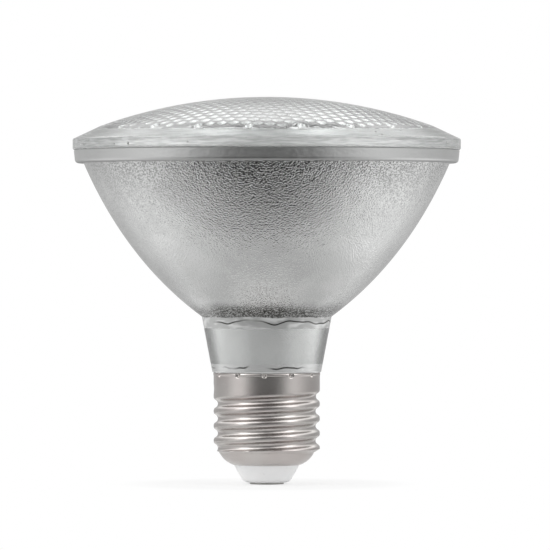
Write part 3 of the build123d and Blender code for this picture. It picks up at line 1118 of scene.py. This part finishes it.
    def skin(self) -> Skin:
        """Spin the section, with the floor's spans ending on the slot in place of the axis.

        A floor point at radius r moves to slot + r (end - slot) / end, end being the span's outer radius.

        Returns:
            The closed skin.
        """
        angles = even_angles(self.columns)
        radius, height, finish = self.section().drawn()
        slot = self.slot_reach(angles)[None, :]
        outer = np.full(len(radius), np.inf)
        outer[: self.under_steps + 1] = self.neck_r - self.neck_wall
        outer[-self.floor_steps - 1 :] = self.floor_r
        on_floor = np.where(np.isinf(outer), 0.0, 1.0)[:, None]
        spread = radius[:, None] * (1.0 - slot / outer[:, None]) + on_floor * slot
        finish[-1] = Zone.NECK
        return spun(spread, height, angles, finish)

    def build(self, zones: Mapping[Zone, Finish]) -> None:
        """Make the reflector.

        Args:
            zones: A finish for each zone.
        """
        materials = [zones[zone].material() for zone in Zone]
        settle(self.skin().piece("reflector_glass", materials, 22.0), "reflector")


@dataclass
class ScrewCap:
    """The screw shell with its rolled thread and stakes, the white insulator, and the contact under it."""

    crest_r: float = 13.09
    sheet: float = 0.3
    lip_z: float = 4.65
    lip_bore_r: float = 7.4
    lip_r: float = 8.05
    lip_steps: int = 2
    shoulder_r: float = 11.7
    shoulder_z: float = 7.78
    shoulder_bow: float = 0.5
    shoulder_steps: int = 14
    run_in: float = 0.8
    blunt: float = 0.35
    top_z: float = 27.3
    skirt_h: float = 2.0
    bore_r: float = 11.7
    pitch: float = 25.4 / 7
    depth: float = 1.09
    groove_top_z: float = 21.486
    runout: Point = (-0.15, 0.7)
    stakes: int = 12
    stake_turn: float = -92.65
    stake_z: float = 26.9
    stake_r: float = 0.75
    stake_flat_r: float = 0.1
    stake_depth: float = 0.5
    bead: float = 0.10
    bead_down: float = 0.3
    bead_w: float = 0.28
    insulator_foot_r: float = 5.6
    insulator_edge_r: float = 1.9
    insulator_z: float = 0.35
    insulator_top_z: float = 8.7
    insulator_columns: int = 160
    eyelet_r: float = 1.4
    eyelet_top_z: float = 2.95
    wire_hole_r: float = 0.6

    def groove(self, height: Array, angles: Array) -> Array:
        """Work out the rolled thread's depth: arcs of one radius, crest and root, along a right-hand helix.

        The nearest groove's centre lies at groove_top_z + pitch (turn + n). Within a quarter pitch of it the
        depth is that of the root's arc, and beyond, that of the crest's. It fades over the run-out.

        Args:
            height: Heights, one row each.
            angles: Angles, one column each.

        Returns:
            The depth below the crest cylinder.
        """
        turn = np.mod(angles, 2.0 * np.pi)[None, :] / (2.0 * np.pi)
        count = np.round((height[:, None] - self.groove_top_z) / self.pitch - turn)
        away = np.abs(height[:, None] - self.groove_top_z - self.pitch * (turn + count))
        half = self.pitch / 2
        arc_r = (half**2 + self.depth**2) / (4 * self.depth)
        root = self.depth - (arc_r - np.sqrt(np.maximum(arc_r**2 - away**2, 0.0)))
        crest = arc_r - np.sqrt(np.maximum(arc_r**2 - (half - away) ** 2, 0.0))
        fade = 1.0 - smooth_step(*self.runout, count + turn)
        return np.where(away < half / 2, root, crest) * fade

    def shell(self) -> Skin:
        """Make the rolled sheet, outside up and inside down.

        Outside, the radius is the lesser of the run-in and the thread, blunted where they cross, with a bead
        round the top edge and a cone punched in at each stake.

        Returns:
            The closed skin.
        """
        angles = crowded_angles(self.stakes, 30, self.stake_turn, 0.6)
        section = Section((self.lip_bore_r, self.lip_z)).line((self.lip_r, self.lip_z), self.lip_steps)
        section.bow((self.shoulder_r, self.shoulder_z), self.shoulder_bow, self.shoulder_steps)
        section.line((self.crest_r, self.shoulder_z + self.run_in), 8)
        section.line((self.crest_r, self.top_z - self.skirt_h), 80).line((self.crest_r, self.top_z), 22)
        radius, out_z, _ = section.drawn()
        plain_r = radius[:, None]
        thread_r = self.crest_r - self.groove(out_z, angles)
        share = np.clip(0.5 + 0.5 * (thread_r - plain_r) / self.blunt, 0.0, 1.0)
        least = thread_r * (1 - share) + plain_r * share - self.blunt * share * (1 - share) * 0.5
        threaded = np.arange(len(out_z)) >= self.lip_steps + self.shoulder_steps
        wall = np.where(threaded[:, None], least, plain_r)
        wall += self.bead * np.exp(-(((out_z - self.top_z + self.bead_down) / self.bead_w) ** 2))[:, None]
        arc = off_mark(angles, self.stakes, self.stake_turn)[None, :] * self.crest_r
        far = np.hypot(arc, (out_z - self.stake_z)[:, None])
        wall -= self.stake_depth * (1.0 - smooth_step(self.stake_flat_r, self.stake_r, far))
        inner = out_z[::-1]
        low = inner < self.insulator_top_z
        bore = np.interp(inner, [self.lip_z, self.insulator_top_z], [self.lip_bore_r, self.bore_r])
        in_r = np.minimum(wall[::-1], self.crest_r) - self.sheet
        in_r = np.where(low[:, None], np.minimum(in_r, bore[:, None]), in_r)
        in_z = np.minimum(np.where(low, inner + self.sheet, inner), self.top_z)
        height = np.concatenate([out_z, in_z])
        return spun(np.concatenate([wall, in_r]), height, angles, np.zeros(len(height), int))

    def insulator(self) -> Skin:
        """Make the white cone under the shell, with the part that fills the shell's shoulder.

        Returns:
            The closed skin.
        """
        lean = math.atan2(self.lip_z - self.insulator_z, self.lip_r - self.insulator_foot_r)
        edge = self.insulator_edge_r
        run = edge * math.tan(lean / 2)
        start = self.insulator_foot_r - run
        end = self.insulator_foot_r + run * math.cos(lean), self.insulator_z + run * math.sin(lean)
        section = Section((self.eyelet_r, self.insulator_z)).line((start, self.insulator_z), 4)
        section.arc((start, self.insulator_z + edge), end, 8)
        section.line((self.lip_r, self.lip_z), 8)
        section.line((self.lip_bore_r, self.lip_z), 1).line((self.lip_bore_r, self.lip_z + self.sheet), 1)
        section.bow((self.bore_r, self.insulator_top_z), self.shoulder_bow, 10)
        section.line((self.wire_hole_r, self.insulator_top_z), 4)
        section.line((self.wire_hole_r, self.eyelet_top_z), 2)
        section.line((self.eyelet_r, self.eyelet_top_z), 1)
        radius, height, finish = section.drawn()
        return spun(radius, height, even_angles(self.insulator_columns), finish)

    def build(self, nickel: NickelPlate, white: Moulded, contact: NickelPlate, solder: DrawnMetal) -> None:
        """Make the cap's pieces.

        Args:
            nickel: The shell's finish.
            white: The insulator's finish.
            contact: The centre contact's finish.
            solder: The finish of the solder and the side weld.
        """
        settle(self.shell().piece("screw_shell", [nickel.material()], 50.0), "cap_shell")
        settle(self.insulator().piece("white_cone", [white.material()]), "cap_insulator")
        dress("centre_contact", contact.material())
        bead = solder.material()
        dress("contact_solder", bead)
        dress("side_weld", bead)


@dataclass
class Burner:
    """The quartz capsule on the focus with its coil, its cement collar and the wiring down to the cap."""

    quartz: PressedGlass
    cement: Moulded
    tungsten: DrawnMetal
    wire: DrawnMetal

    def build(self) -> None:
        """Dress the burner's solids."""
        dress("burner_capsule", self.quartz.material())
        dress("burner_cement", self.cement.material())
        dress("filament", self.tungsten.material())
        wire = self.wire.material()
        for node in ("filament_lead_long", "filament_lead_short"):
            dress(node, wire)
        for kind in ("seal_foil", "burner_pin", "crimp", "lead_wire"):
            for side in ("live", "neutral"):
                dress(f"{kind}_{side}", wire)


# Studio


@dataclass
class Studio:
    """A small white table in a white room that is dark behind the camera, two soft boxes and a far camera.

    The room's greys go by direction: upper and lower give them round the axis, from behind the bulb (0) to
    the camera's side (1), belt is where one gives way to the other, and ceiling where both do to the panel.
    """

    table_r: float = 79.0
    table_z: float = -0.02
    table_foot_z: float = -3.0
    eye_z: float = 59.4
    eye_x: float = 2.03
    distance: float = 1274.0
    view_w: float = 135.09
    sensor_w: float = 36.0
    horizon_px: float = 33.0
    frame_px: int = 550
    upper: tuple[Point, ...] = (
        (0.0, 0.54), (0.07, 0.54), (0.25, 0.52), (0.45, 0.60), (0.70, 0.95),
        (0.82, 0.85), (0.91, 0.40), (0.963, 0.20), (1.0, 0.16),
    )
    lower: tuple[Point, ...] = (
        (0.0, 0.50), (0.06, 0.62), (0.14, 1.0), (0.25, 1.30), (0.424, 1.10), (0.5, 0.95),
        (0.617, 0.82), (0.70, 0.64), (0.85, 0.18), (0.93, 0.04), (1.0, 0.03),
    )
    belt: Point = (-0.33, -0.14)
    ceiling: Point = (0.25, 0.7)
    panel_front: float = 0.62
    panel_fall: float = 0.25
    panel_back: float = 1.4
    panel_side: float = 1.1
    box_reach: float = 0.7
    box_aim: float = 0.05
    box_tilt: float = 25.0
    box_size: Point = (0.26, 0.4)
    box_watts: float = 0.5

    def table(self) -> None:
        """Make the round table top, white to the camera but for the shade on it, with painted light near the
        bulb and painted shade, greyer, in front and further out.
        """
        section = Section((self.table_r, self.table_foot_z)).line((self.table_r, self.table_z), 1)
        radius, height, finish = section.line((1.0, self.table_z), 6).drawn()
        material = bpy.data.materials.new("white_table")
        shader = Shader(material)
        x, y, _ = shader.axes()
        away = (x * x + y * y) ** 0.5
        # painted light and shade: lighter near the bulb, greyer in front and further out
        front_shade = shader.mix(x.size().eased(20.0, 60.0), grey(0.58), grey(0.84))
        front_shade = shader.mix(y.eased(15.0, 50.0), front_shade, grey(0.95))
        lit_and_shaded = shader.mix(away.eased(14.0, 36.0), grey(0.95), front_shade)
        grained = shader.mix(shader.noise(0.5, 2.0) * 0.1, lit_and_shaded, grey(0.7))
        matt = shader.node("ShaderNodeBsdfDiffuse", {}, {"Color": grained})
        glow = shader.node("ShaderNodeEmission", {}, {"Color": grey(1.0), "Strength": 1.0})
        seen = shader.node("ShaderNodeLightPath", {}, {}, "Is Camera Ray")
        shader.blend(seen * (0.6 + 0.4 * away.eased(8.0, 40.0)), matt, glow)
        spun(radius, height, even_angles(96), finish, self.table_z).piece("table", [material])

    def room(self) -> None:
        """Make the world: white to the camera and straight through glass, elsewhere a grey by direction."""
        world = bpy.data.worlds.new("white_room")
        bpy.context.scene.world = world
        shader = Shader(world)
        way = shader.node("ShaderNodeTexCoord", {}, {}, "Generated")
        x = shader.node("ShaderNodeSeparateXYZ", {}, {0: way}, "X")
        y, z = x.also("Y"), x.also("Z")
        front = 0.5 - 0.5 * (y / (x * x + y * y + 0.0001) ** 0.5)
        upper = shader.node("ShaderNodeValToRGB", {"stops": self.upper}, {0: front})
        lower = shader.node("ShaderNodeValToRGB", {"stops": self.lower}, {0: front})
        round_about = shader.mix(z.eased(*self.belt), lower, upper)
        panel = self.panel_front - self.panel_fall * y.eased(-0.05, 0.4)
        panel = panel + self.panel_back * y.eased(0.6, 0.85) + self.panel_side * x.size().eased(0.1, 0.4)
        shades = shader.mix(z.eased(*self.ceiling), round_about, panel)
        lopsided = 1.0 + x * (0.08 - 0.16 * z.eased(-0.3, -0.1))
        shades = shader.node("ShaderNodeVectorMath", {"operation": "MULTIPLY"}, {0: shades, 1: lopsided})
        seen = shader.node("ShaderNodeLightPath", {}, {}, "Is Camera Ray")
        through = seen.also("Is Transmission Ray") * (1.0 - seen.also("Glossy Depth")).at_least(0.0)
        light = {"Color": shader.mix(seen + through, shades, grey(1.0)), "Strength": 1.0}
        shader.node("ShaderNodeOutputWorld", {}, {0: shader.node("ShaderNodeBackground", {}, light)}, None)

    def box(self, name: str, azimuth: float) -> None:
        """Hang a soft box that looks at the bulb.

        Args:
            name: Its name.
            azimuth: Degrees round from the camera, to the right.
        """
        lamp = bpy.data.lights.new(name, "AREA")
        lamp.shape = "RECTANGLE"
        lamp.size, lamp.size_y = self.box_size
        lamp.energy = self.box_watts
        thing = bpy.data.objects.new(name, lamp)
        turn, tilt = math.radians(azimuth), math.radians(self.box_tilt)
        level = self.box_reach * math.cos(tilt)
        high = self.box_aim + self.box_reach * math.sin(tilt)
        thing.location = (level * math.sin(turn), -level * math.cos(turn), high)
        thing.rotation_euler = (math.pi / 2 - tilt, 0.0, turn)
        bpy.context.scene.collection.objects.link(thing)

    def camera(self) -> None:
        """Place the camera level with the bowl, far off, looking down a little."""
        lens = bpy.data.cameras.new("camera")
        lens.sensor_width = self.sensor_w
        lens.lens = self.sensor_w * self.distance / self.view_w
        lens.clip_end = 50.0
        thing = bpy.data.objects.new("camera", lens)
        thing.location = (self.eye_x * MM, -self.distance * MM, self.eye_z * MM)
        down = math.atan(self.horizon_px / self.frame_px * self.view_w / self.distance)
        thing.rotation_euler = (math.pi / 2 - down, 0.0, 0.0)
        bpy.context.scene.collection.objects.link(thing)
        bpy.context.scene.camera = thing

    def build(self) -> None:
        """Set the stage."""
        bpy.context.scene.view_settings.view_transform = "Standard"
        self.table()
        self.room()
        self.box("box_left", -60.0)
        self.box("box_right", 58.0)
        self.camera()


def main() -> None:
    """Build the bulb and its stage in order."""
    logging.basicConfig(level=logging.INFO, format="%(name)s: %(message)s")
    Lens().build(
        PressedGlass("clear_lens_glass"),
        # the bevel's glass is tinted darker than the dome's clear glass: painted shade
        PressedGlass("bevel_glass", (0.86, 0.88, 0.87), 0.08, 0.008, (0.3, 0.3, 2.0), 1.5, 0.04),
        RimGlass("lens_rim_glass", (0.93, 0.95, 0.94), 0.06, 0.012, (0.25, 0.25, 3.0), 1.5, 0.22, 0.65),
        Moulded("lens_adhesive", (0.50, 0.51, 0.50), (0.62, 0.63, 0.62), 0.5),
    )
    Reflector().build(
        {
            Zone.MIRROR: SilverFilm("mirror_film"),
            # the flange is painted darker towards its foot: painted shade
            Zone.FLANGE: SilverFilm("silvered_flange", (0.66, 0.665, 0.66), 0.40, 0.12, (78.8, 79.5)),
            Zone.BOWL: PebbledSilver("pebbled_silver"),
            Zone.NECK: PressedGlass("neck_glass", (0.97, 0.98, 0.975), 0.05, 0.01, (1.0, 1.0, 0.06)),
            Zone.NECK_FILM: SilverFilm("neck_film", (0.67, 0.675, 0.67), 0.2, 0.02),
            Zone.NECK_FOOT: NeckFoot("neck_foot"),
        }
    )
    Burner(
        PressedGlass("quartz", (0.99, 0.99, 0.99), 0.03, 0.002, EVEN, 1.46),
        Moulded("cement", (0.80, 0.78, 0.72), (0.70, 0.68, 0.62), 0.75, 0.0, 3.0, 0.05),
        DrawnMetal("tungsten", (0.42, 0.42, 0.44), 0.4),
        DrawnMetal("lead_wire", (0.66, 0.66, 0.67), 0.3),
    ).build()
    ScrewCap().build(
        NickelPlate("nickel_shell"),
        Moulded("white_insulator", (0.95, 0.95, 0.95), (0.92, 0.925, 0.93), 0.3, 0.3, 0.8, 0.006),
        NickelPlate("contact_plate", (0.50, 0.49, 0.47), (0.44, 0.43, 0.41), 0.35),
        DrawnMetal("solder", (0.58, 0.58, 0.59), 0.45),
    )
    Studio().build()


if __name__ == "__main__":
    main()
